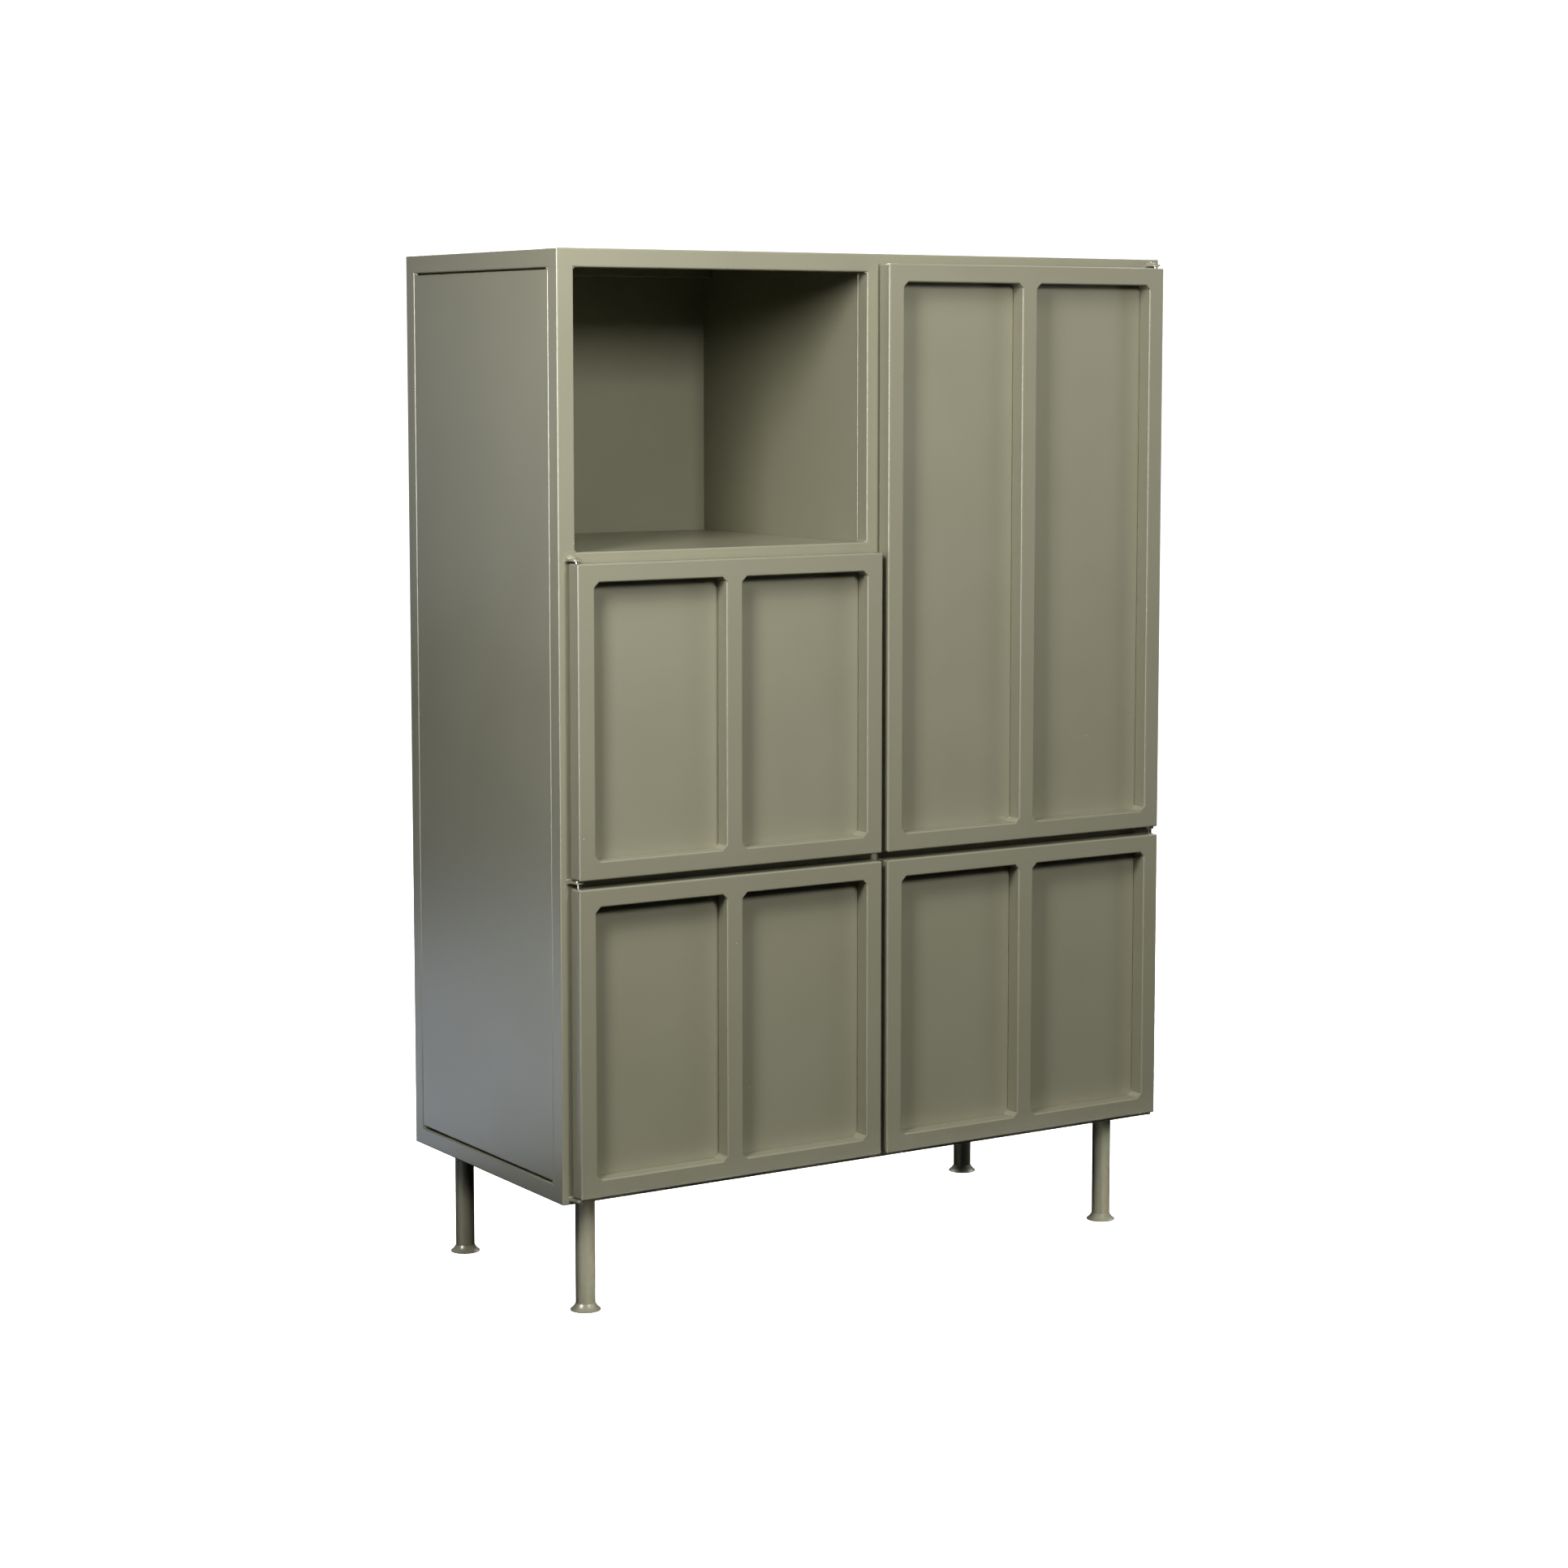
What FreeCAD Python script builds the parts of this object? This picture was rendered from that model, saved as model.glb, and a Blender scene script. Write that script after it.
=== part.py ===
import FreeCAD, Part
import os

# Welded steel storage cabinet, in millimetres.
# X runs across the front, the front faces -Y and Z is up.
# The origin is on the floor, in the middle of the cabinet's outline.

# Carcass
CARCASS_WIDTH = 1000.0
CARCASS_DEPTH = 440.0
LOWER_OPENING = 397.0      # clear height behind the lower doors
MIDDLE_OPENING = 401.0     # clear height behind the middle door
NICHE_OPENING = 372.0      # clear height of the open niche
LEG_CLEARANCE = 160.0      # floor to the underside of the carcass

# Square tube of the carcass and the door frames
TUBE = 25.0
TUBE_WALL = 1.5
TUBE_CORNER = 2.2

# Sheet metal
SHEET = 1.2
FOLD_RADIUS = 2.2
FLANGE = 12.0
PANEL_RECESS = 1.0         # sheet face below the tube face beside it
SIDE_RECESS = 0.2          # face of a side panel inside the faces of the posts
PANEL_GAP = 2.5            # slot above and below a side panel
BACK_RECESS = 2.5          # back sheet in front of the rear face of the tubes

# Doors
DOOR_STANDOFF = 3.5        # carcass front to the back of the door frames
DOOR_SIDE_MARGIN = 13.0    # carcass side to the hinged edge of a door
DOOR_TOP_MARGIN = 13.5     # top of a rail to the top of the door that laps it
DOOR_BOTTOM_MARGIN = 11.0  # underside of the carcass to the lower doors
DOOR_CENTRE_GAP = 9.5      # between the left and the right doors
DOOR_STACK_GAP = 11.5      # between the upper and the lower doors
DOOR_CORNER = 3.0
DOOR_SHEET_INSET = 3.0     # edge of the door sheet inside the edge of the frame
PANE_WELD = 5.5            # leg of the welds across the corners of the panes
WELD_SETBACK = 0.02        # pane welds behind the front face of the frame

# Hinges
PIN_DIAMETER = 5.0
PIN_INSET = 5.5            # pin axis from the hinged edge of the door
PIN_REACH = 12.0           # length of pin inside the door
PIN_COVER = 1.0            # metal left over the pin in a top tab
BUSH_WALL = 1.2
BUSH_LENGTH = 14.0
TAB_WIDTH = 19.0           # at the root of the tab
TAB_END_DIAMETER = 13.0    # round end of the tab
TAB_THICKNESS = 2.5
TAB_WELD = 3.0
TAB_MOUND_REACH = 9.0      # radius of the weld heaped on a top tab
TAB_MOUND_HEIGHT = 4.8
TAB_TOP_GAP = 3.0          # door top to the tab above it
WASHER_DIAMETER = 12.0
WASHER_THICKNESS = 1.5

# Magnets that hold the doors shut
MAGNET_DIAMETER = 9.0
MAGNET_INSET = 25.0        # from the free edge of the door

# Legs
LEG_DIAMETER = 27.0
LEG_WALL = 1.5
LEG_SIDE_INSET = 57.0      # carcass side to the leg axis
LEG_FRONT_INSET = 42.0     # carcass front or back to the leg axis
FOOT_DIAMETER = 42.0
FOOT_HEIGHT = 10.0
FOOT_RIM = 1.0
FOOT_HOLLOW = 0.42         # share of the flare that is left at the middle of its curve
LEG_PLATE_THICKNESS = 5.0
LEG_PLATE_BORDER = 15.0    # plate beyond the leg

# Clearances
RUNNING_CLEARANCE = 0.05   # between a pin and its bush, on the radius
PRESS_CLEARANCE = 0.02     # between pieces that are pressed or welded together, on the radius
SEAT_CLEARANCE = 0.25      # between a door and what it rests on or closes against
TOUCHING = 1e-4            # faces nearer than this count as one when pieces are fitted together

# Levels and faces that follow from these sizes
LEFT = -CARCASS_WIDTH / 2
RIGHT = CARCASS_WIDTH / 2
BACK = (CARCASS_DEPTH + DOOR_STANDOFF + TUBE) / 2
FRONT = BACK - CARCASS_DEPTH
DOOR_BACK = FRONT - DOOR_STANDOFF
DOOR_FRONT = DOOR_BACK - TUBE
PIN_DEPTH = DOOR_BACK - TUBE / 2
BASE = LEG_CLEARANCE
FLOOR_LEVEL = BASE + TUBE
MIDDLE_RAIL = FLOOR_LEVEL + LOWER_OPENING
MIDDLE_LEVEL = MIDDLE_RAIL + TUBE
NICHE_RAIL = MIDDLE_LEVEL + MIDDLE_OPENING
NICHE_LEVEL = NICHE_RAIL + TUBE
TOP_RAIL = NICHE_LEVEL + NICHE_OPENING
TOP = TOP_RAIL + TUBE
MAGNET_THICKNESS = DOOR_STANDOFF - SHEET - SEAT_CLEARANCE

X_AXIS = FreeCAD.Vector(1, 0, 0)
Y_AXIS = FreeCAD.Vector(0, 1, 0)
Z_AXIS = FreeCAD.Vector(0, 0, 1)


def point(x, y, z):
    return FreeCAD.Vector(x, y, z)


def block(low, high):
    """Box between its lowest and its highest corner."""
    size = high - low
    return Part.makeBox(size.x, size.y, size.z, low)


def edges_along(shape, direction):
    """Straight edges of a shape that run along a direction."""
    found = []
    for edge in shape.Edges:
        run = edge.Vertexes[-1].Point - edge.Vertexes[0].Point
        if run.Length > 0 and run.cross(direction).Length < TOUCHING * run.Length:
            found.append(edge)
    return found


def edges_at_height(shape, height):
    """Edges of a shape that lie level at one height."""
    return [edge for edge in shape.Edges if all(abs(v.Z - height) < TOUCHING for v in edge.Vertexes)]


def upright_edges_at(shape, x, y):
    """Vertical edges of a shape that stand at x, y."""
    edges = edges_along(shape, Z_AXIS)
    return [edge for edge in edges if (edge.CenterOfMass - point(x, y, edge.CenterOfMass.z)).Length < TOUCHING]


def rounded(shape, radius, edges):
    """Shape with a fillet on some of its edges, or as it is where no radius is left."""
    if radius <= 0:
        return shape
    return shape.makeFillet(radius, edges)


def placed(shape, origin, x_axis, z_axis):
    """Copy of a shape with its X and Z axes turned to two directions and moved to a point."""
    copy = shape.copy()
    turn = FreeCAD.Rotation(x_axis, z_axis.cross(x_axis), z_axis, "ZXY")
    copy.Placement = FreeCAD.Placement(origin, turn)
    return copy


def square_bar(side, corner, length):
    """Upright square bar round the Z axis, with rounded long edges."""
    half = side / 2
    bar = block(point(-half, -half, 0), point(half, half, length))
    return rounded(bar, corner, edges_along(bar, Z_AXIS))


def filled_tube(length):
    """Outer form of the square tube, without its bore."""
    return square_bar(TUBE, TUBE_CORNER, length)


def square_tube(length):
    """Square tube, open at both ends, with sharp corners inside."""
    bore = square_bar(TUBE - 2 * TUBE_WALL, 0, length)
    return filled_tube(length).cut(bore)


def mitred(tube, length):
    """Tube with both ends cut at 45 degrees, shorter on its +X side."""
    half = TUBE / 2
    outline = [
        point(-half, -half, 0),
        point(half, -half, TUBE),
        point(half, -half, length - TUBE),
        point(-half, -half, length),
    ]
    kept = Part.Face(Part.makePolygon(outline + outline[:1])).extrude(TUBE * Y_AXIS)
    return tube.common(kept)


def mitred_frame(corner, across, up, width, height, section):
    """Four mitred tubes round a rectangle: its low, high, near and far sides."""
    half = TUBE / 2
    level = mitred(section(width), width)
    upright = mitred(section(height), height)
    low = placed(level, corner + half * up, up, across)
    high = placed(level, corner + (height - half) * up, -1 * up, across)
    near = placed(upright, corner + half * across, across, up)
    far = placed(upright, corner + (width - half) * across, -1 * across, up)
    return [low, high, near, far]


def upright_bar(section, x, y, low, high):
    """Vertical tube whose axis stands at x, y."""
    return placed(section(high - low), point(x, y, low), X_AXIS, Z_AXIS)


def level_bar(section, left, right, y, low):
    """Tube across the cabinet, with its underside at a level."""
    return placed(section(right - left), point(left, y, low + TUBE / 2), Z_AXIS, X_AXIS)


def without(shape, neighbours):
    """Shape cut to fit round its neighbours."""
    return shape.cut(tuple(neighbours), TOUCHING).Solids[0]


def tray(width, depth):
    """Sheet with its face up at z = 0 and all four edges folded down."""
    outer = block(point(0, 0, -FLANGE), point(width, depth, 0))
    outer = rounded(outer, FOLD_RADIUS, edges_at_height(outer, 0))
    inner = block(point(SHEET, SHEET, -FLANGE), point(width - SHEET, depth - SHEET, -SHEET))
    inner = rounded(inner, FOLD_RADIUS - SHEET, edges_at_height(inner, -SHEET))
    return outer.cut(inner)


def floor_tray(left, right, front, back, level):
    """Tray that lies level, with its face at a height."""
    return placed(tray(right - left, back - front), point(left, front, level), X_AXIS, Z_AXIS)


def cylinder(diameter, base, height):
    return Part.makeCylinder(diameter / 2, height, base, Z_AXIS)


nodes = {}


def keep(name, *solids):
    """Store the solids of one named piece."""
    nodes[name] = list(solids)


# Carcass frame: mitred top and bottom frames with posts between them

frame_corner = point(LEFT, FRONT, 0)
frame_envelope = block(point(LEFT, FRONT, BASE), point(RIGHT, BACK, TOP))
frame_envelope = rounded(frame_envelope, TUBE_CORNER, edges_along(frame_envelope, Z_AXIS))


def level_frame(level, section):
    """Mitred frame round the carcass, with its underside at a level."""
    corner = frame_corner + (level + TUBE / 2) * Z_AXIS
    sides = mitred_frame(corner, X_AXIS, Y_AXIS, CARCASS_WIDTH, CARCASS_DEPTH, section)
    return [side.common(frame_envelope) for side in sides]


side_names = ["front_rail", "rear_rail", "left_rail", "right_rail"]
for prefix, level in (("bottom", BASE), ("top", TOP_RAIL)):
    for side_name, side in zip(side_names, level_frame(level, square_tube)):
        keep(prefix + "_" + side_name, side)
frame_forms = level_frame(BASE, filled_tube) + level_frame(TOP_RAIL, filled_tube)

post_places = {
    "front_left_post": (LEFT + TUBE / 2, FRONT + TUBE / 2),
    "front_right_post": (RIGHT - TUBE / 2, FRONT + TUBE / 2),
    "rear_left_post": (LEFT + TUBE / 2, BACK - TUBE / 2),
    "rear_right_post": (RIGHT - TUBE / 2, BACK - TUBE / 2),
    "centre_post": (0, FRONT + TUBE / 2),
}
post_forms = {}
for name, (x, y) in post_places.items():
    low = FLOOR_LEVEL - TUBE_CORNER
    high = TOP_RAIL + TUBE_CORNER
    post_forms[name] = upright_bar(filled_tube, x, y, low, high)
    keep(name, without(upright_bar(square_tube, x, y, low, high), frame_forms))


def cross_rail(left_post, right_post, level):
    """Front rail between two posts, its ends shaped to their rounded edges."""
    left = post_places[left_post][0] + TUBE / 2 - TUBE_CORNER
    right = post_places[right_post][0] - TUBE / 2 + TUBE_CORNER
    rail = level_bar(square_tube, left, right, FRONT + TUBE / 2, level)
    return without(rail, [post_forms[left_post], post_forms[right_post]])


keep("niche_rail", cross_rail("front_left_post", "centre_post", NICHE_RAIL))
keep("left_middle_rail", cross_rail("front_left_post", "centre_post", MIDDLE_RAIL))
keep("right_middle_rail", cross_rail("centre_post", "front_right_post", MIDDLE_RAIL))

# Sheet panels let into the frame

inner_depth = CARCASS_DEPTH - 2 * TUBE
inner_height = TOP_RAIL - FLOOR_LEVEL
side_tray = tray(inner_depth, inner_height - 2 * PANEL_GAP)
tray_front = FRONT + TUBE
left_corner = point(LEFT + SIDE_RECESS, BACK - TUBE, FLOOR_LEVEL + PANEL_GAP)
right_corner = point(RIGHT - SIDE_RECESS, tray_front, FLOOR_LEVEL + PANEL_GAP)
keep("left_side_panel", placed(side_tray, left_corner, -1 * Y_AXIS, -1 * X_AXIS))
keep("right_side_panel", placed(side_tray, right_corner, Y_AXIS, X_AXIS))

top_face = TOP - PANEL_RECESS
floor_face = FLOOR_LEVEL - PANEL_RECESS
keep("top_panel", floor_tray(LEFT + TUBE, RIGHT - TUBE, tray_front, BACK - TUBE, top_face))
keep("bottom_panel", floor_tray(LEFT + TUBE, RIGHT - TUBE, tray_front, BACK - TUBE, floor_face))

back_face = BACK - BACK_RECESS - SHEET
keep("back_panel", block(point(LEFT + TUBE, back_face, FLOOR_LEVEL),
                         point(RIGHT - TUBE, back_face + SHEET, TOP_RAIL)))


def divider():
    """Upright sheet behind the centre post, its front edge folded along the post."""
    face = -TUBE / 2 + PANEL_RECESS
    outer = block(point(face, tray_front, floor_face), point(face + FLANGE, back_face, TOP_RAIL))
    outer = rounded(outer, FOLD_RADIUS, upright_edges_at(outer, face, tray_front))
    inner = block(point(face + SHEET, tray_front + SHEET, floor_face),
                  point(face + FLANGE, back_face, TOP_RAIL))
    inner_fold = upright_edges_at(inner, face + SHEET, tray_front + SHEET)
    inner = rounded(inner, FOLD_RADIUS - SHEET, inner_fold)
    notch = FOLD_RADIUS + SHEET
    tongue = block(point(face, tray_front + notch, TOP_RAIL),
                   point(face + SHEET, BACK - TUBE - notch, top_face - SHEET))
    return without(outer.cut(inner).fuse(tongue).removeSplitter(), frame_forms)


keep("divider_panel", divider())

# Shelves, notched round the rear posts and the folded edges of the upright sheets

left_edge = LEFT + SIDE_RECESS + SHEET
right_edge = RIGHT - SIDE_RECESS - SHEET
divider_left = -TUBE / 2 + PANEL_RECESS
divider_right = divider_left + SHEET
fold_depth = tray_front + FOLD_RADIUS
notches = [block(point(divider_left, tray_front, BASE), point(divider_left + FLANGE, fold_depth, TOP))]
for side in (LEFT, RIGHT - TUBE):
    notches.append(block(point(side, tray_front, BASE), point(side + TUBE, fold_depth, TOP)))
    notches.append(block(point(side, BACK - TUBE - FOLD_RADIUS, BASE), point(side + TUBE, BACK, TOP)))
shelf_spans = {
    "niche_floor": (left_edge, divider_left, NICHE_LEVEL),
    "left_middle_shelf": (left_edge, divider_left, MIDDLE_LEVEL),
    "right_middle_shelf": (divider_right, right_edge, MIDDLE_LEVEL),
    "tall_shelf": (divider_right, right_edge, NICHE_LEVEL),
}
for name, (left, right, level) in shelf_spans.items():
    shelf = floor_tray(left, right, tray_front, back_face, level - PANEL_RECESS)
    keep(name, without(shelf, notches))

# Legs, feet and the plates that carry them


def foot(x, y):
    """Round foot that flares from the leg to a thin rim on the floor."""
    rim = FOOT_DIAMETER / 2
    neck = LEG_DIAMETER / 2
    start = point(neck, 0, FOOT_HEIGHT)
    end = point(rim, 0, FOOT_RIM)
    sag = end + FOOT_HOLLOW * point(0, 0, FOOT_HEIGHT - FOOT_RIM) - (1 - FOOT_HOLLOW) * point(rim - neck, 0, 0)
    edges = [
        Part.LineSegment(point(0, 0, 0), point(0, 0, FOOT_HEIGHT)).toShape(),
        Part.LineSegment(point(0, 0, FOOT_HEIGHT), start).toShape(),
        Part.Arc(start, sag, end).toShape(),
        Part.LineSegment(end, point(rim, 0, 0)).toShape(),
        Part.LineSegment(point(rim, 0, 0), point(0, 0, 0)).toShape(),
    ]
    profile = Part.Face(Part.Wire(edges))
    turned = profile.revolve(point(0, 0, 0), Z_AXIS, 360)
    turned.translate(point(x, y, 0))
    return turned


def leg_plate(x, y):
    """Plate in a corner of the bottom frame, with its inner corner cut off."""
    reach = LEG_DIAMETER / 2 + LEG_PLATE_BORDER
    side = 1 if x > 0 else -1
    end = 1 if y > 0 else -1
    outer_x = side * (CARCASS_WIDTH / 2 - TUBE)
    outer_y = BACK - TUBE if y > 0 else tray_front
    inner_x = x - side * reach
    inner_y = y - end * reach
    cut = LEG_PLATE_BORDER
    outline = [
        point(outer_x, outer_y, 0),
        point(inner_x, outer_y, 0),
        point(inner_x, inner_y + end * cut, 0),
        point(inner_x + side * cut, inner_y, 0),
        point(outer_x, inner_y, 0),
    ]
    plate = Part.Face(Part.makePolygon(outline + outline[:1])).extrude(LEG_PLATE_THICKNESS * Z_AXIS)
    plate.translate((BASE + TUBE_CORNER) * Z_AXIS)
    return plate


leg_places = []
for x in (LEFT + LEG_SIDE_INSET, RIGHT - LEG_SIDE_INSET):
    for y in (FRONT + LEG_FRONT_INSET, BACK - LEG_FRONT_INSET):
        leg_places.append((x, y))
leg_length = BASE + TUBE_CORNER - FOOT_HEIGHT
legs = []
for x, y in leg_places:
    start = point(x, y, FOOT_HEIGHT)
    bore = cylinder(LEG_DIAMETER - 2 * LEG_WALL, start, leg_length)
    legs.append(cylinder(LEG_DIAMETER, start, leg_length).cut(bore))
keep("legs", *legs)
keep("feet", *[foot(x, y) for x, y in leg_places])
keep("leg_plates", *[leg_plate(x, y) for x, y in leg_places])

# Doors

lower_low = BASE + DOOR_BOTTOM_MARGIN
stack_middle = MIDDLE_RAIL + TUBE / 2
lower_high = stack_middle - DOOR_STACK_GAP / 2
upper_low = stack_middle + DOOR_STACK_GAP / 2
middle_high = NICHE_LEVEL - DOOR_TOP_MARGIN
tall_high = TOP - DOOR_TOP_MARGIN
left_span = (LEFT + DOOR_SIDE_MARGIN, -DOOR_CENTRE_GAP / 2)
right_span = (DOOR_CENTRE_GAP / 2, RIGHT - DOOR_SIDE_MARGIN)
bush_diameter = PIN_DIAMETER + 2 * (RUNNING_CLEARANCE + BUSH_WALL)


def pane_weld(x, z, x_turn, z_turn, bars):
    """Weld across the corner of a pane, run in between the rounded edges of the bars that meet there."""
    root = point(x - x_turn * TUBE_CORNER, DOOR_FRONT + WELD_SETBACK, z - z_turn * TUBE_CORNER)
    leg = PANE_WELD + 2 * TUBE_CORNER
    outline = [root, root + x_turn * leg * X_AXIS, root + z_turn * leg * Z_AXIS]
    wedge = Part.Face(Part.makePolygon(outline + outline[:1])).extrude((TUBE - WELD_SETBACK) * Y_AXIS)
    left_over = wedge.cut(tuple(bars), TOUCHING).Solids
    return max(left_over, key=lambda solid: solid.Volume)


def door(name, span, low, high, hinge_on_left):
    """One door: a mitred tube frame with a mullion, a sheet behind it and its pivot bushes."""
    left, right = span
    width = right - left
    height = high - low
    middle = (left + right) / 2
    envelope = block(point(left, DOOR_FRONT, low), point(right, DOOR_BACK, high))
    envelope = rounded(envelope, DOOR_CORNER, edges_along(envelope, Y_AXIS))
    corner = point(left, PIN_DEPTH, low)
    frame = mitred_frame(corner, X_AXIS, Z_AXIS, width, height, square_tube)
    bottom_rail, top_rail, left_stile, right_stile = [side.common(envelope) for side in frame]
    forms = mitred_frame(corner, X_AXIS, Z_AXIS, width, height, filled_tube)

    mullion_low = low + TUBE - TUBE_CORNER
    mullion_high = high - TUBE + TUBE_CORNER
    mullion = upright_bar(square_tube, middle, PIN_DEPTH, mullion_low, mullion_high)
    mullion = without(mullion, forms[:2])
    bars = forms + [upright_bar(filled_tube, middle, PIN_DEPTH, mullion_low, mullion_high)]

    pin_x = left + PIN_INSET if hinge_on_left else right - PIN_INSET
    pane_sides = [(left + TUBE, 1), (middle - TUBE / 2, -1), (middle + TUBE / 2, 1), (right - TUBE, -1)]
    for x, turn in pane_sides:
        bottom_rail = bottom_rail.fuse(pane_weld(x, low + TUBE, turn, 1, bars))
        top_rail = top_rail.fuse(pane_weld(x, high - TUBE, turn, -1, bars))
    rails = []
    bushes = []
    for rail, bush_low in ((bottom_rail, low), (top_rail, high - BUSH_LENGTH)):
        start = point(pin_x, PIN_DEPTH, bush_low)
        rails.append(rail.cut(cylinder(bush_diameter + 2 * PRESS_CLEARANCE, start, BUSH_LENGTH)))
        bore = cylinder(PIN_DIAMETER + 2 * RUNNING_CLEARANCE, start, BUSH_LENGTH)
        bushes.append(cylinder(bush_diameter, start, BUSH_LENGTH).cut(bore))

    stiles = [left_stile, right_stile] if hinge_on_left else [right_stile, left_stile]
    inset = DOOR_SHEET_INSET
    sheet = block(point(left + inset, DOOR_BACK, low + inset),
                  point(right - inset, DOOR_BACK + SHEET, high - inset))
    keep(name + "_hinge_stile", stiles[0])
    keep(name + "_free_stile", stiles[1])
    keep(name + "_rails", *rails)
    keep(name + "_mullion", mullion)
    keep(name + "_sheet", sheet)
    keep(name + "_bushes", *bushes)


door("middle_door", left_span, upper_low, middle_high, True)
door("lower_left_door", left_span, lower_low, lower_high, True)
door("tall_door", right_span, upper_low, tall_high, False)
door("lower_right_door", right_span, lower_low, lower_high, False)

# Hinges: tabs on the carcass front, with a pin in each and a washer under each door


def root_bead(x, level, turn):
    """Weld along the root of a tab, above it or below it."""
    left = x - TAB_WIDTH / 2
    outline = [
        point(left, FRONT, level),
        point(left, FRONT - TAB_WELD, level),
        point(left, FRONT, level + turn * TAB_WELD),
    ]
    return Part.Face(Part.makePolygon(outline + outline[:1])).extrude(TAB_WIDTH * X_AXIS)


def weld_mound(x, level):
    """Weld heaped on the root of a top tab: half a cone against the carcass front."""
    reach = TAB_MOUND_REACH
    cone = Part.makeCone(reach, reach / 3, TAB_MOUND_HEIGHT, point(x, FRONT, level), Z_AXIS)
    room = block(point(x - reach, FRONT - reach, level), point(x + reach, FRONT, level + TAB_MOUND_HEIGHT))
    return cone.common(room)


def hinge_tab(x, low, hole_depth, upper_weld):
    """Tab that narrows to a round end at its pin, with the welds that hold it to the carcass front."""
    half = TAB_WIDTH / 2
    end = TAB_END_DIAMETER / 2
    outline = [
        point(x - half, FRONT, low),
        point(x + half, FRONT, low),
        point(x + end, PIN_DEPTH, low),
        point(x - end, PIN_DEPTH, low),
    ]
    plate = Part.Face(Part.makePolygon(outline + outline[:1])).extrude(TAB_THICKNESS * Z_AXIS)
    plate = plate.fuse(cylinder(TAB_END_DIAMETER, point(x, PIN_DEPTH, low), TAB_THICKNESS))
    plate = plate.fuse(root_bead(x, low, -1)).fuse(upper_weld)
    hole = cylinder(PIN_DIAMETER + 2 * PRESS_CLEARANCE, point(x, PIN_DEPTH, low), hole_depth)
    return plate.removeSplitter().cut(hole)


def carrier_tab(x, low):
    """Tab under a door, with its pin right through it."""
    return hinge_tab(x, low, TAB_THICKNESS, root_bead(x, low + TAB_THICKNESS, 1))


def top_tab(x, low):
    """Tab over a door, welded on once the door hangs, with its pin let in from below."""
    return hinge_tab(x, low, TAB_THICKNESS - PIN_COVER, weld_mound(x, low + TAB_THICKNESS))


def pin(x, low, high):
    return cylinder(PIN_DIAMETER, point(x, PIN_DEPTH, low), high - low)


def washer(x, low):
    start = point(x, PIN_DEPTH, low)
    hole = cylinder(PIN_DIAMETER + 2 * RUNNING_CLEARANCE, start, WASHER_THICKNESS)
    return cylinder(WASHER_DIAMETER, start, WASHER_THICKNESS).cut(hole)


carrier_drop = SEAT_CLEARANCE + WASHER_THICKNESS + TAB_THICKNESS
tabs = []
pins = []
washers = []
for x, high in ((left_span[0] + PIN_INSET, middle_high), (right_span[1] - PIN_INSET, tall_high)):
    bottom_low = lower_low - carrier_drop
    middle_low = upper_low - carrier_drop
    top_low = high + TAB_TOP_GAP
    tabs += [carrier_tab(x, bottom_low), carrier_tab(x, middle_low), top_tab(x, top_low)]
    pins.append(pin(x, bottom_low, lower_low + PIN_REACH))
    pins.append(pin(x, lower_high - PIN_REACH, upper_low + PIN_REACH))
    pins.append(pin(x, high - PIN_REACH, top_low + TAB_THICKNESS - PIN_COVER))
    washers += [washer(x, bottom_low + TAB_THICKNESS), washer(x, middle_low + TAB_THICKNESS)]
keep("hinge_tabs", *tabs)
keep("hinge_pins", *pins)
keep("hinge_washers", *washers)

# Disc magnets on the carcass front, behind the free corner of each door


def magnet(x, z):
    return Part.makeCylinder(MAGNET_DIAMETER / 2, MAGNET_THICKNESS, point(x, FRONT, z), -1 * Y_AXIS)


left_magnet = left_span[1] - MAGNET_INSET
right_magnet = right_span[0] + MAGNET_INSET
bottom_lap = (lower_low + DOOR_SHEET_INSET + FLOOR_LEVEL) / 2
niche_lap = (NICHE_RAIL + middle_high - DOOR_SHEET_INSET) / 2
top_lap = (TOP_RAIL + tall_high - DOOR_SHEET_INSET) / 2
keep(
    "door_magnets",
    magnet(left_magnet, bottom_lap),
    magnet(left_magnet, niche_lap),
    magnet(right_magnet, bottom_lap),
    magnet(right_magnet, top_lap),
)

# One file for each named piece

os.makedirs("parts", exist_ok=True)
for name, solids in nodes.items():
    shape = solids[0] if len(solids) == 1 else Part.makeCompound(solids)
    shape.exportStep("parts/" + name + ".step")
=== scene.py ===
import math
import random

import bmesh
import bpy
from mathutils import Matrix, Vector


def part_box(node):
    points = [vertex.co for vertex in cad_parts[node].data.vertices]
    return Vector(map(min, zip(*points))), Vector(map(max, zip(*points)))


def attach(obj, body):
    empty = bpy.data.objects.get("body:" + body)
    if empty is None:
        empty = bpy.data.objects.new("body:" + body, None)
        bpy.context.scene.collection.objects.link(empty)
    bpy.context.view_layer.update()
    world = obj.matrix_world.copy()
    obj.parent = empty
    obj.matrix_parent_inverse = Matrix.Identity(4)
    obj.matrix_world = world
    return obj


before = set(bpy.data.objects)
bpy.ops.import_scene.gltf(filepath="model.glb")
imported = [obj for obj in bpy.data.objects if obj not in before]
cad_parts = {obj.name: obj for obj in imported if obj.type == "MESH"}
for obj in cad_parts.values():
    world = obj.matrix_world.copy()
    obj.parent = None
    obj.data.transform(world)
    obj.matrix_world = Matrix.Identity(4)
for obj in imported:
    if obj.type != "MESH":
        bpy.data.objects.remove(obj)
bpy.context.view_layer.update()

MM = 0.001
IMAGE_SIDE = 1932                     # pixels

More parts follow.
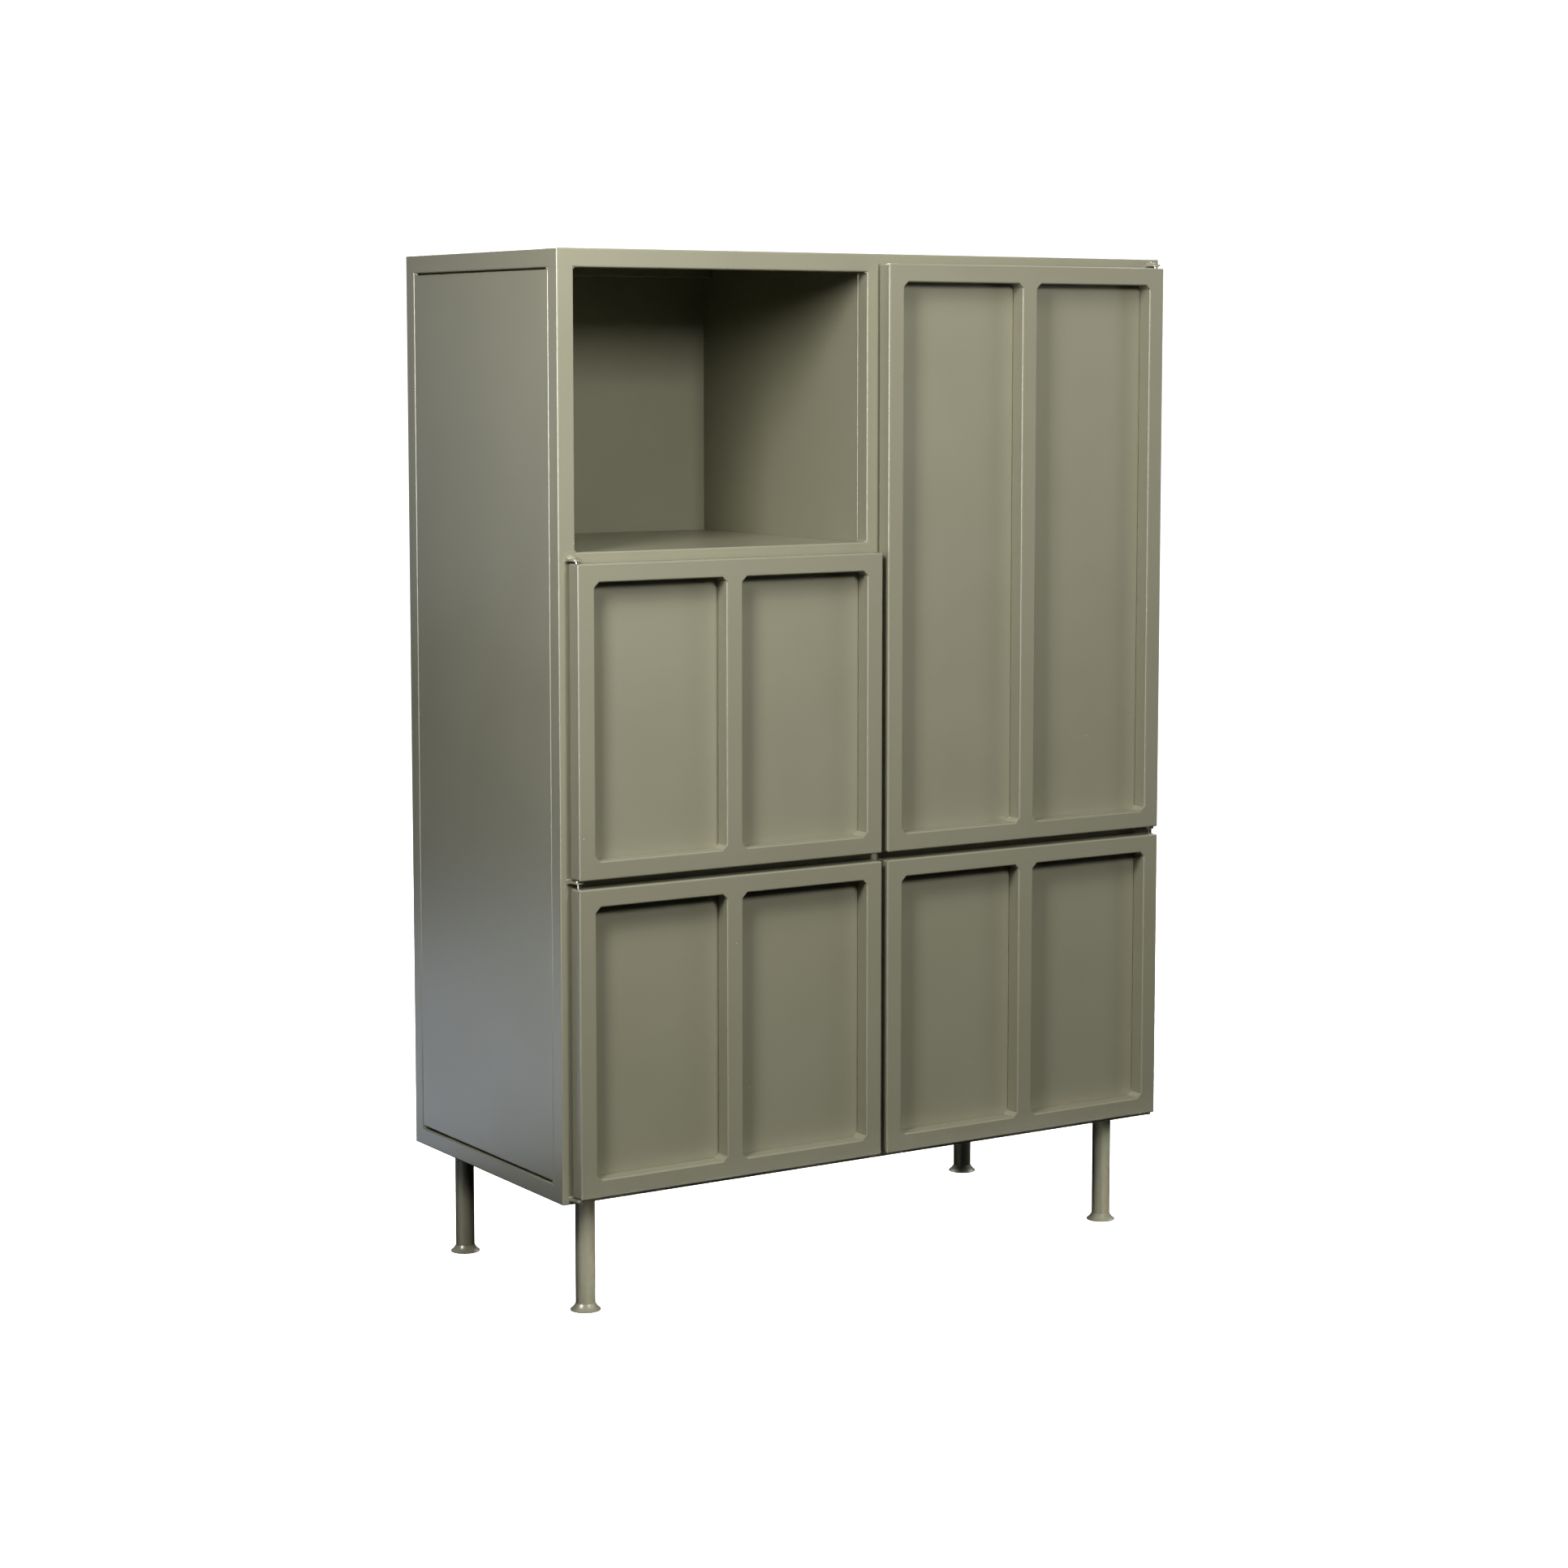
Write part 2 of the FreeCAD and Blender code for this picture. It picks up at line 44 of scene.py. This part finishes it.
# Camera, fitted to the corners of the cabinet
CAMERA_PLACE = (-2591, -4012, 1286)   # mm
CAMERA_TURN = -32.68                  # degrees round the vertical, from straight ahead
CAMERA_DIP = 5.84                     # degrees below level
CAMERA_FOCUS = 4082                   # pixels on the square image
CAMERA_SHIFT = -0.055                 # share of the image side
CAMERA_REACH = 60                     # m, past the far side of the wall
SENSOR = 36.0                         # mm

# Sizes that the welds share with the model, in mm
TUBE = 25.0
LEG_RADIUS = 13.5
PIN_RADIUS = 2.5
TAB_HALF = 9.5          # half the width of a hinge tab at its root
TAB_THICKNESS = 2.5
TAB_ABOVE = 3.0         # door top to the tab above it
TAB_BELOW = 4.25        # door bottom to the underside of the tab below it
GROUND_EDGE = 1.0       # rounding of the cut edges of the hinge tabs

# Weld beads: lengths in mm, and shares of a bead's radius
RIPPLE = 2.4            # spacing of the ripples
RINGS_PER_RIPPLE = 4
FEWEST_RINGS = 8
BEAD_SIDES = 10
BEAD_WAIST = 0.92       # share between two ripples
BEAD_SWELL = 0.2        # share that a ripple adds
BEAD_VARIES = 0.05      # share that changes from ring to ring
BEAD_WANDERS = 0.04     # share that a ring may lie off the seam
BLUNT_END = 0.02        # keeps the rounded end of a bead from closing to a point
STITCH_LENGTH = 22.0
STITCH_PITCH = 150.0
CORNER_RUN = 7.0        # weld along the slot in a corner of a side panel

# Sockets of a node that mixes two colours
MIX_SHARE, MIX_FROM, MIX_TO, MIXED = 0, 6, 7, 2


def colour(hex_value):
    """sRGB hex to the linear colour that the shaders take."""
    channels = [int(hex_value[i:i + 2], 16) / 255 for i in (0, 2, 4)]
    linear = [c / 12.92 if c <= 0.04045 else ((c + 0.055) / 1.055) ** 2.4 for c in channels]
    return (*linear, 1.0)


def scale_for(size):
    """Texture scale, in cells per metre, for a pattern whose cells are a size in millimetres."""
    return 1.0 / (size * MM)


def add_node(tree, kind, inputs=(), **settings):
    """Adds a node with its settings; each input is a value or the output of another node."""
    node = tree.nodes.new(kind)
    for name, value in settings.items():
        setattr(node, name, value)
    for key, value in dict(inputs).items():
        if isinstance(value, bpy.types.NodeSocket):
            tree.links.new(value, node.inputs[key])
        else:
            node.inputs[key].default_value = value
    return node


def new_material(name):
    """Empty node material, its tree and the place on the object that its patterns follow."""
    material = bpy.data.materials.new(name)
    material.use_nodes = True
    tree = material.node_tree
    tree.nodes.clear()
    return material, tree, add_node(tree, "ShaderNodeTexCoord").outputs["Object"]


def powder_coat(name, shade, cloud, wave, peel):
    """Satin polyester powder coat on steel, sprayed and oven cured; its patterns' sizes are in mm.

    It gives a soft sheen with a fine orange peel, faint clouds where the film is thicker,
    and here and there a speck of dust baked into the film.
    """
    speck_cell = 34         # mm between places where a speck may lie
    empty_share = 0.8       # share of these places that have none
    wave_depth = 0.01       # share of a wave's length
    light, dark = shade
    material, tree, place = new_material(name)
    clouds = add_node(tree, "ShaderNodeTexNoise", {
        "Vector": place, "Scale": scale_for(cloud), "Detail": 3.0})
    film = add_node(tree, "ShaderNodeMix", {
        MIX_SHARE: clouds.outputs["Fac"], MIX_FROM: colour(dark), MIX_TO: colour(light)}, data_type="RGBA")
    cells = add_node(tree, "ShaderNodeTexVoronoi", {"Vector": place, "Scale": scale_for(speck_cell)})
    speck_edge = add_node(tree, "ShaderNodeMapRange", {
        "Value": cells.outputs["Distance"],
        "From Min": 0.012, "From Max": 0.03, "To Min": 1.0, "To Max": 0.0})
    cell_number = add_node(tree, "ShaderNodeSeparateColor", {0: cells.outputs["Color"]})
    rare = add_node(tree, "ShaderNodeMath", {
        0: cell_number.outputs["Red"], 1: empty_share}, operation="GREATER_THAN")
    speck = add_node(tree, "ShaderNodeMath", {
        0: speck_edge.outputs[0], 1: rare.outputs[0]}, operation="MULTIPLY")
    paint = add_node(tree, "ShaderNodeMix", {
        MIX_SHARE: speck.outputs[0], MIX_FROM: film.outputs[MIXED], MIX_TO: colour("D9D8C8")},
        data_type="RGBA")
    gloss = add_node(tree, "ShaderNodeMapRange", {
        "Value": clouds.outputs["Fac"],
        "From Min": 0.3, "From Max": 0.7, "To Min": 0.36, "To Max": 0.43})
    orange_peel = add_node(tree, "ShaderNodeTexNoise", {
        "Vector": place, "Scale": scale_for(peel), "Detail": 2.0})
    waves = add_node(tree, "ShaderNodeTexNoise", {
        "Vector": place, "Scale": scale_for(wave), "Detail": 1.0})
    sag = add_node(tree, "ShaderNodeBump", {
        "Height": waves.outputs["Fac"], "Strength": 0.25, "Distance": wave * MM * wave_depth})
    skin = add_node(tree, "ShaderNodeBump", {
        "Height": orange_peel.outputs["Fac"], "Strength": 0.12, "Distance": 0.2 * MM,
        "Normal": sag.outputs[0]})
    grain = add_node(tree, "ShaderNodeBump", {
        "Height": speck.outputs[0], "Strength": 0.4, "Distance": 0.3 * MM, "Normal": skin.outputs[0]})
    shader = add_node(tree, "ShaderNodeBsdfPrincipled", {
        "Base Color": paint.outputs[MIXED], "Roughness": gloss.outputs[0], "Normal": grain.outputs[0],
        "IOR": 1.5, "Coat Weight": 0.35, "Coat Roughness": 0.2})
    add_node(tree, "ShaderNodeOutputMaterial", {"Surface": shader.outputs[0]})
    return material


def bright_steel():
    """Turned mild steel of the hinge pins and washers.

    It gives a bright, slightly oily shine with fine tool rings.
    """
    # Tool rings are about 0.1 mm apart; 0.8 mm is the finest that shows here.
    ring_spacing = 0.8
    rings_in_cell = 20 / math.tau   # this texture's own count
    material, tree, place = new_material("turned_steel")
    rings = add_node(tree, "ShaderNodeTexWave", {
        "Vector": place, "Scale": scale_for(ring_spacing) / rings_in_cell, "Distortion": 0.6},
        bands_direction="Z")
    stain = add_node(tree, "ShaderNodeTexNoise", {"Vector": place, "Scale": scale_for(6), "Detail": 4.0})
    tone = add_node(tree, "ShaderNodeMix", {
        MIX_SHARE: stain.outputs["Fac"], MIX_FROM: colour("8F8D88"), MIX_TO: colour("C2C1BC")},
        data_type="RGBA")
    rough = add_node(tree, "ShaderNodeMapRange", {
        "Value": rings.outputs["Fac"], "To Min": 0.28, "To Max": 0.3})
    bump = add_node(tree, "ShaderNodeBump", {
        "Height": rings.outputs["Fac"], "Strength": 0.15, "Distance": 0.005 * MM})
    shader = add_node(tree, "ShaderNodeBsdfPrincipled", {
        "Base Color": tone.outputs[MIXED], "Metallic": 1.0, "Roughness": rough.outputs[0],
        "Normal": bump.outputs[0]})
    add_node(tree, "ShaderNodeOutputMaterial", {"Surface": shader.outputs[0]})
    return material


def nickel_plate():
    """Nickel plating on the door magnets: it gives a warm mirror dulled by small scuffs."""
    material, tree, place = new_material("nickel_plate")
    scuffs = add_node(tree, "ShaderNodeTexNoise", {
        "Vector": place, "Scale": scale_for(1.5), "Detail": 6.0})
    tone = add_node(tree, "ShaderNodeMix", {
        MIX_SHARE: scuffs.outputs["Fac"], MIX_FROM: colour("A8A196"), MIX_TO: colour("D6D0C4")},
        data_type="RGBA")
    rough = add_node(tree, "ShaderNodeMapRange", {
        "Value": scuffs.outputs["Fac"], "To Min": 0.12, "To Max": 0.34})
    shader = add_node(tree, "ShaderNodeBsdfPrincipled", {
        "Base Color": tone.outputs[MIXED], "Metallic": 1.0, "Roughness": rough.outputs[0]})
    add_node(tree, "ShaderNodeOutputMaterial", {"Surface": shader.outputs[0]})
    return material


def sintered_bronze():
    """Sintered bronze bushes soaked in oil: it gives a dull brown metal with open pores."""
    # The pores are about 0.1 mm; 0.8 mm is the finest that shows here.
    pore = 0.8
    material, tree, place = new_material("sintered_bronze")
    pores = add_node(tree, "ShaderNodeTexVoronoi", {"Vector": place, "Scale": scale_for(pore)})
    tone = add_node(tree, "ShaderNodeMix", {
        MIX_SHARE: pores.outputs["Distance"], MIX_FROM: colour("4E4030"), MIX_TO: colour("85705A")},
        data_type="RGBA")
    bump = add_node(tree, "ShaderNodeBump", {
        "Height": pores.outputs["Distance"], "Strength": 0.4, "Distance": 0.1 * MM})
    shader = add_node(tree, "ShaderNodeBsdfPrincipled", {
        "Base Color": tone.outputs[MIXED], "Metallic": 1.0, "Roughness": 0.5, "Normal": bump.outputs[0]})
    add_node(tree, "ShaderNodeOutputMaterial", {"Surface": shader.outputs[0]})
    return material


SAGE = ("9D9B87", "979580")     # thick and thin places in the film
tube_coat = powder_coat("powder_coat_on_tube", SAGE, cloud=180, wave=400, peel=2.5)
sheet_coat = powder_coat("powder_coat_on_sheet", SAGE, cloud=120, wave=160, peel=2.5)
weld_coat = powder_coat("powder_coat_on_weld", SAGE, cloud=40, wave=8, peel=1.2)
turned_steel = bright_steel()
node_materials = {
    "hinge_pins": turned_steel,
    "hinge_washers": turned_steel,
    "door_magnets": nickel_plate(),
}
bush_metal = sintered_bronze()


def material_for(node_name):
    """The bare metals by name, then painted sheet, and painted tube for the rest."""
    if node_name in node_materials:
        return node_materials[node_name]
    if node_name.endswith("_bushes"):
        return bush_metal
    if node_name.endswith(("_panel", "_sheet", "_shelf", "_floor")):
        return sheet_coat
    return tube_coat


for name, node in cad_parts.items():
    node.data.materials.clear()
    node.data.materials.append(material_for(name))


# Welds: each bead is a rippled run of weld metal under the paint

chance = random.Random(7)


def box_of(node_name):
    """Lowest and highest corner of a CAD node, in mm."""
    low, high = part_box(node_name)
    return low / MM, high / MM


def add_bead(mesh, place_at, length, radius, closed=False):
    """Adds one bead to a mesh, along place_at(0) to place_at(1) in mm.

    Its ends are rounded unless it is closed.
    """
    a_little = 0.002        # share of the length, to find the direction of the run
    steep = 0.9             # a run that rises more than this takes its side from another axis
    count = max(FEWEST_RINGS, round(length / RIPPLE * RINGS_PER_RIPPLE))
    rings = []
    for step in range(count if closed else count + 1):
        share = step / count
        run = (place_at(share + a_little) - place_at(share - a_little)).normalized()
        upright = Vector((0, 0, 1)) if abs(run.z) < steep else Vector((1, 0, 0))
        side = run.cross(upright).normalized()
        over = side.cross(run)
        ripple = abs(math.sin(math.pi * share * length / RIPPLE))
        scale = BEAD_WAIST + BEAD_SWELL * ripple + chance.uniform(-BEAD_VARIES, BEAD_VARIES)
        if not closed:
            to_end = min(share, 1 - share) * length / radius
            scale *= math.sqrt(max(BLUNT_END, 1 - max(0.0, 1 - to_end) ** 2))
        stray = [chance.uniform(-BEAD_WANDERS, BEAD_WANDERS) * radius for _ in range(3)]
        middle = place_at(share) + Vector(stray)
        ring = []
        for corner in range(BEAD_SIDES):
            turn = math.tau * corner / BEAD_SIDES
            spot = middle + radius * scale * (math.cos(turn) * side + math.sin(turn) * over)
            ring.append(mesh.verts.new(spot * MM))
        rings.append(ring)
    pairs = list(zip(rings, rings[1:]))
    if closed:
        pairs.append((rings[-1], rings[0]))
    else:
        mesh.faces.new(rings[0])
        mesh.faces.new(list(reversed(rings[-1])))
    for near, far in pairs:
        for corner in range(BEAD_SIDES):
            after = (corner + 1) % BEAD_SIDES
            mesh.faces.new((near[corner], far[corner], far[after], near[after]))


def straight_bead(mesh, start, end, radius):
    """Bead from one point to another."""
    start, end = Vector(start), Vector(end)
    add_bead(mesh, lambda share: start.lerp(end, share), (end - start).length, radius)


def round_bead(mesh, centre, reach, radius, turn_from=0.0, turn_to=math.tau):
    """Bead round a vertical axis; a whole turn closes on itself."""
    sweep = turn_to - turn_from

    def place_at(share):
        turn = turn_from + sweep * share
        return Vector(centre) + reach * Vector((math.cos(turn), math.sin(turn), 0))

    add_bead(mesh, place_at, sweep * reach, radius, closed=math.isclose(sweep, math.tau))


def stitches(mesh, start, end, radius):
    """Short beads at even spacing along a seam."""
    start, end = Vector(start), Vector(end)
    along = (end - start).normalized()
    half = along * STITCH_LENGTH / 2
    count = max(2, round((end - start).length / STITCH_PITCH))
    for number in range(count):
        middle = start.lerp(end, (number + 0.5) / count)
        straight_bead(mesh, middle - half, middle + half, radius)


def weld_piece(name, body, mesh):
    """Turns finished beads into one painted piece that rides on a body."""
    bmesh.ops.recalc_face_normals(mesh, faces=mesh.faces)
    data = bpy.data.meshes.new(name)
    mesh.to_mesh(data)
    mesh.free()
    for face in data.polygons:
        face.use_smooth = True
    data.materials.append(weld_coat)
    piece = bpy.data.objects.new(name, data)
    bpy.context.scene.collection.objects.link(piece)
    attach(piece, body)


def leg_welds():
    """Rings where the legs meet the plates above them."""
    radius = 3.4
    drop = 4.0              # top of a leg to the middle of its bead
    outside = 0.3           # face of a leg to the middle of its bead
    mesh = bmesh.new()
    low, high = box_of("legs")
    for x in (low.x + LEG_RADIUS, high.x - LEG_RADIUS):
        for y in (low.y + LEG_RADIUS, high.y - LEG_RADIUS):
            round_bead(mesh, (x, y, high.z - drop), LEG_RADIUS + outside, radius)
    weld_piece("leg_welds", "carcass", mesh)


def side_panel_welds():
    """Beads that close the slots of the side panels at their corners."""
    radius = 2.0
    sunk = 2.3              # face of a panel to the middle of a bead
    rail_low = box_of("bottom_left_rail")[1].z
    rail_high = box_of("top_left_rail")[0].z
    mesh = bmesh.new()
    for node_name in ("left_side_panel", "right_side_panel"):
        low, high = box_of(node_name)
        x = low.x + sunk if low.x < 0 else high.x - sunk
        for z in ((low.z + rail_low) / 2, (high.z + rail_high) / 2):
            straight_bead(mesh, (x, low.y, z), (x, low.y + CORNER_RUN, z), radius)
            straight_bead(mesh, (x, high.y - CORNER_RUN, z), (x, high.y, z), radius)
    weld_piece("side_panel_welds", "carcass", mesh)


def opening_welds():
    """Fillets in the inner corners of the openings in the carcass front."""
    radius = 1.8
    off = 0.7               # faces of a corner to the middle of its bead
    front = box_of("centre_post")[0].y
    starts = front + 0.8    # a bead stops short of the faces of the tube
    ends = front + TUBE - 1.0
    floor_rail = box_of("bottom_front_rail")
    middle_rail = box_of("left_middle_rail")
    niche_rail = box_of("niche_rail")
    top_rail = box_of("top_front_rail")
    left_sides = (box_of("front_left_post")[1].x, box_of("centre_post")[0].x)
    right_sides = (box_of("centre_post")[1].x, box_of("front_right_post")[0].x)
    openings = [
        (left_sides, floor_rail, middle_rail),
        (left_sides, middle_rail, niche_rail),
        (left_sides, niche_rail, top_rail),
        (right_sides, floor_rail, middle_rail),
        (right_sides, middle_rail, top_rail),
    ]
    mesh = bmesh.new()
    for (left, right), below, above in openings:
        for x in (left + off, right - off):
            for z in (below[1].z + off, above[0].z - off):
                straight_bead(mesh, (x, starts, z), (x, ends, z), radius)
    weld_piece("opening_welds", "carcass", mesh)


def hinge_tab_welds():
    """Beads round the roots of the hinge tabs."""
    under_radius, over_radius, top_radius = 2.1, 2.0, 1.9
    off = 0.9               # post and underside of a tab to the middle of a bead
    over = 0.7              # upper side of a tab to the middle of a bead
    longer = 0.5            # what the upper bead reaches past the tab at each end
    crown_off, crown_rise, crown_reach = 0.5, 1.0, 7.0   # half ring on the top tab
    front = box_of("centre_post")[0].y
    y = front - off
    pin_reach = box_of("hinge_pins")[1].x - PIN_RADIUS
    mesh = bmesh.new()
    for x, upper, lower in ((-pin_reach, "middle_door", "lower_left_door"),
                            (pin_reach, "tall_door", "lower_right_door")):
        upper_low, upper_high = box_of(upper + "_rails")
        lower_low = box_of(lower + "_rails")[0]
        left, right = x - TAB_HALF, x + TAB_HALF
        for tab in (lower_low.z - TAB_BELOW, upper_low.z - TAB_BELOW):
            straight_bead(mesh, (left, y, tab - off), (right, y, tab - off), under_radius)
            z = tab + TAB_THICKNESS + over
            straight_bead(mesh, (left - longer, y, z), (right + longer, y, z), over_radius)
        tab = upper_high.z + TAB_ABOVE
        straight_bead(mesh, (left, y, tab - off), (right, y, tab - off), top_radius)
        crown = (x, front - crown_off, tab + TAB_THICKNESS + crown_rise)
        round_bead(mesh, crown, crown_reach, over_radius, math.pi, math.tau)
    weld_piece("hinge_tab_welds", "carcass", mesh)


def back_panel_welds():
    """Stitches that hold the back panel in the rear frame."""
    radius = 1.5
    inside = 0.4            # edge of the panel to the middle of a bead
    low, high = box_of("back_panel")
    y = high.y + 0.5        # proud of the panel
    mesh = bmesh.new()
    for x in (low.x + inside, high.x - inside):
        stitches(mesh, (x, y, low.z), (x, y, high.z), radius)
    for z in (low.z + inside, high.z - inside):
        stitches(mesh, (low.x, y, z), (high.x, y, z), radius)
    weld_piece("back_panel_welds", "carcass", mesh)


def door_sheet_welds(door):
    """Stitches that hold a door's sheet to the back of its frame."""
    radius = 1.0
    outside = 0.4           # edge of the sheet to the middle of a bead
    low, high = box_of(door + "_sheet")
    y = (low.y + high.y) / 2 - 0.2   # just in front of the middle of the sheet
    mesh = bmesh.new()
    for x in (low.x - outside, high.x + outside):
        stitches(mesh, (x, y, low.z), (x, y, high.z), radius)
    for z in (low.z - outside, high.z + outside):
        stitches(mesh, (low.x, y, z), (high.x, y, z), radius)
    weld_piece(door + "_sheet_welds", door, mesh)


leg_welds()
side_panel_welds()
opening_welds()
hinge_tab_welds()
back_panel_welds()
for door in ("middle_door", "lower_left_door", "tall_door", "lower_right_door"):
    door_sheet_welds(door)

# The cut edges of the hinge tabs are ground round before painting.
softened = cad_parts["hinge_tabs"].modifiers.new("ground_edges", "BEVEL")
softened.width = GROUND_EDGE * MM
softened.segments = 3
softened.limit_method = "ANGLE"
softened.angle_limit = math.radians(40)


# Studio: a pale floor that runs into a pale wall, and soft lights on all sides; lengths in metres

FLOOR_REACH = 3.2
MIRRORED_REACH = 1.2
MIRRORED_PLACE = (-1.52, 1.6, 0.0)
WALL_REACH = 16.0
WALL_CURVE = 6.0        # radius of the bend from floor to wall
WALL_HEIGHT = 12.0
BEND_STEPS = 12
ROUND = 96              # sides of the round floor and wall
EMULSION = ("FEFEFE", "F8F8F8")
# shades of the glowing patch that paints a cool reflection on the left side
REFLECTION_GLOW_SHADES = ("DDE6F9", "D3DDF3")


def turned_sheet(name, profile):
    """Round sheet from a profile of (reach, height) points."""
    mesh = bmesh.new()
    rings = []
    for reach, height in profile:
        ring = []
        for side in range(ROUND):
            angle = math.tau * side / ROUND
            ring.append(mesh.verts.new((reach * math.cos(angle), reach * math.sin(angle), height)))
        rings.append(ring)
    if len(rings) == 1:
        mesh.faces.new(rings[0])
    for low, high in zip(rings, rings[1:]):
        for side in range(ROUND):
            after = (side + 1) % ROUND
            mesh.faces.new((low[side], low[after], high[after], high[side]))
    data = bpy.data.meshes.new(name)
    mesh.to_mesh(data)
    mesh.free()
    for face in data.polygons:
        face.use_smooth = True
    sheet = bpy.data.objects.new(name, data)
    bpy.context.scene.collection.objects.link(sheet)
    sheet.visible_diffuse = False
    return sheet


def emulsion(name, shades, glow):
    """Matt emulsion of the studio floor and wall: it gives faint roller clouds, and a glow keeps it pale."""
    roller_cloud = 900      # mm
    light, dark = shades
    material, tree, place = new_material(name)
    roller = add_node(tree, "ShaderNodeTexNoise", {
        "Vector": place, "Scale": scale_for(roller_cloud), "Detail": 4.0})
    tone = add_node(tree, "ShaderNodeMix", {
        MIX_SHARE: roller.outputs["Fac"], MIX_FROM: colour(dark), MIX_TO: colour(light)}, data_type="RGBA")
    shader = add_node(tree, "ShaderNodeBsdfPrincipled", {
        "Base Color": tone.outputs[MIXED], "Roughness": 0.9,
        "Emission Color": colour(light), "Emission Strength": glow})
    add_node(tree, "ShaderNodeOutputMaterial", {"Surface": shader.outputs[0]})
    return material


def soft_light(name, place, aim, width, height, power):
    """Rectangular softbox at a place, turned to an aim; power in watts."""
    data = bpy.data.lights.new(name, "AREA")
    data.shape = "RECTANGLE"
    data.size = width
    data.size_y = height
    data.energy = power
    lamp = bpy.data.objects.new(name, data)
    bpy.context.scene.collection.objects.link(lamp)
    lamp.location = place
    lamp.rotation_euler = (Vector(aim) - Vector(place)).to_track_quat("-Z", "Y").to_euler()
    return lamp


wall_profile = [(FLOOR_REACH, 0.0), (WALL_REACH - WALL_CURVE, 0.0)]
for step in range(1, BEND_STEPS + 1):
    turn = math.pi / 2 * step / BEND_STEPS
    wall_profile.append((WALL_REACH - WALL_CURVE + WALL_CURVE * math.sin(turn),
                         WALL_CURVE * (1 - math.cos(turn))))
wall_profile.append((WALL_REACH, WALL_HEIGHT))
floor = turned_sheet("pale_floor", [(FLOOR_REACH, 0.0)])
floor.data.materials.append(emulsion("white_emulsion_floor", EMULSION, glow=0.97))
floor.visible_glossy = False
wall = turned_sheet("pale_wall", wall_profile)
wall.data.materials.append(emulsion("white_emulsion_wall", EMULSION, glow=1.02))
wall.visible_glossy = False
# The glowing patch of floor that the left side mirrors paints a cool reflection on the lower half of that
# side; it is hidden from the camera, and dimmer and cooler than the floor looks.
mirrored = turned_sheet("painted_reflection_patch", [(MIRRORED_REACH, 0.5 * MM)])
mirrored.location = MIRRORED_PLACE
# its glow is a painted reflection, not a lamp
mirrored.data.materials.append(emulsion("painted_reflection_glow", REFLECTION_GLOW_SHADES, glow=0.81))
mirrored.visible_camera = False

left_key = soft_light("left_key", place=(-1.7, -1.15, 1.97), aim=(0.0, -0.1, 1.0),
                      width=0.5, height=0.8, power=31.5)
left_key.visible_glossy = False
# Strips on the left show only as the bright lines on the rounded upright edges, fainter lower down.
for level, strip_power in ((1.38, 63), (0.43, 12)):
    edge_strip = soft_light("edge_strip", place=(-2.22, -0.5, level), aim=(-0.5, -0.22, level),
                            width=0.78, height=0.95, power=strip_power)
    edge_strip.visible_diffuse = False
# A cool card behind the left side gives its upper half a pale sheen.
cool_card = soft_light("cool_card", place=(-2.7, 3.4, 1.1), aim=(-0.5, 0.0, 1.1),
                       width=3.0, height=1.0, power=4.4)
cool_card.data.color = colour("DCE6FF")[:3]
cool_card.visible_diffuse = False
soft_light("front_key", place=(-0.1, -2.9, 2.1), aim=(0.0, -0.2, 0.8), width=0.45, height=0.6, power=36)
soft_light("top_light", place=(-0.3, -1.4, 3.0), aim=(0.0, -0.2, 1.0), width=0.8, height=0.8, power=11)
soft_light("right_fill", place=(2.9, -1.7, 1.3), aim=(0.0, -0.2, 0.7), width=0.8, height=0.8, power=9)
# A narrow beam along the floor lights the legs and stays off the doors.
leg_light = soft_light("leg_light", place=(0.0, -2.4, 0.075), aim=(0.0, -0.16, 0.075),
                       width=1.3, height=0.1, power=0.23)
leg_light.data.spread = math.radians(6)
soft_light("back_soft", place=(0.5, 3.0, 3.4), aim=(0.0, 0.2, 0.8), width=2.2, height=2.2, power=95)
soft_light("right_soft", place=(3.0, 0.9, 2.9), aim=(0.5, 0.0, 0.8), width=2.0, height=2.0, power=64)
world = bpy.data.worlds.new("studio_air")
bpy.context.scene.world = world
world.use_nodes = True
world.node_tree.nodes["Background"].inputs["Color"].default_value = colour("E8EEFA")
world.node_tree.nodes["Background"].inputs["Strength"].default_value = 0.01

camera_data = bpy.data.cameras.new("camera")
camera_data.sensor_width = SENSOR
camera_data.lens = CAMERA_FOCUS / IMAGE_SIDE * SENSOR
camera_data.shift_y = CAMERA_SHIFT
camera_data.clip_end = CAMERA_REACH
camera = bpy.data.objects.new("camera", camera_data)
bpy.context.scene.collection.objects.link(camera)
camera.location = [value * MM for value in CAMERA_PLACE]
camera.rotation_euler = (math.radians(90 - CAMERA_DIP), 0, math.radians(CAMERA_TURN))
bpy.context.scene.camera = camera
bpy.context.scene.view_settings.view_transform = "Standard"
bpy.context.scene.view_settings.look = "Medium High Contrast"
